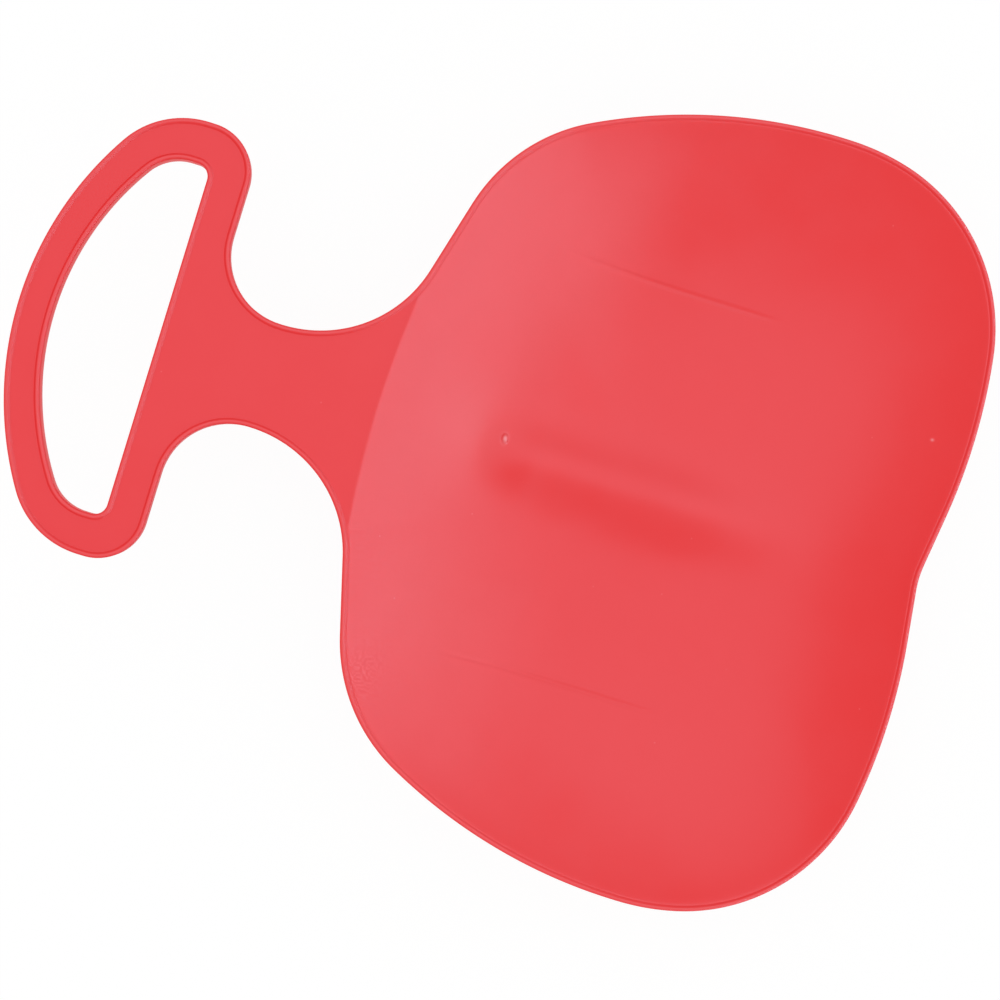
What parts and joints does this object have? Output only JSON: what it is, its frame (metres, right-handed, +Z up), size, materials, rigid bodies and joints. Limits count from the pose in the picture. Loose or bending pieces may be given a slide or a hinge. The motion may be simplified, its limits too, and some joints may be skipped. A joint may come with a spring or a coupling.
{
  "type": "snow slider sled",
  "caption": "Dished plastic snow slider with a notched rear, a flat flexing neck and a flat D-shaped handle with a hand opening; beaded edge and keels under the seat.",
  "frame": {"origin": "centre of the bounding box in plan, at the height of the runner feet", "axes": "+X forward towards the handle, +Y to the rider's left, +Z up"},
  "size_m": [0.5192, 0.438, 0.0767],
  "materials": {
    "red_plastic": "satin moulded polyethylene"
  },
  "bodies": {
    "seat": {"seat_pan": "red_plastic", "pan_rim": "red_plastic", "runner_left": "red_plastic", "runner_right": "red_plastic", "neck_root": "red_plastic"},
    "neck_rear": {"neck_rear_segment": "red_plastic"},
    "neck_middle": {"neck_middle_segment": "red_plastic"},
    "neck_front": {"neck_front_segment": "red_plastic"},
    "handle": {"handle_plate": "red_plastic", "handle_rim": "red_plastic", "opening_rim": "red_plastic"}
  },
  "joints": [
    {"name": "neck_bend_rear", "type": "hinge", "parent": "seat", "child": "neck_rear", "pos_m": [0.09748, 0, 0.0655], "axis": [0, -1, 0], "range_deg": [0, 20], "stiffness_Nm_per_rad": 4},
    {"name": "neck_bend_middle", "type": "hinge", "parent": "neck_rear", "child": "neck_middle", "pos_m": [0.11544, 0, 0.06676], "axis": [0, -1, 0], "range_deg": [0, 20], "stiffness_Nm_per_rad": 4},
    {"name": "neck_bend_front", "type": "hinge", "parent": "neck_middle", "child": "neck_front", "pos_m": [0.1334, 0, 0.06802], "axis": [0, -1, 0], "range_deg": [0, 20], "stiffness_Nm_per_rad": 4},
    {"name": "neck_twist", "type": "hinge", "parent": "neck_front", "child": "handle", "pos_m": [0.14752, 0, 0.0667], "axis": [0.9976, 0, 0.0698], "range_deg": [-20, 20], "stiffness_Nm_per_rad": 1.5}
  ],
  "couplings": [
    {"joint": "neck_bend_middle", "follows": "neck_bend_rear", "ratio": 1},
    {"joint": "neck_bend_front", "follows": "neck_bend_rear", "ratio": 1}
  ]
}
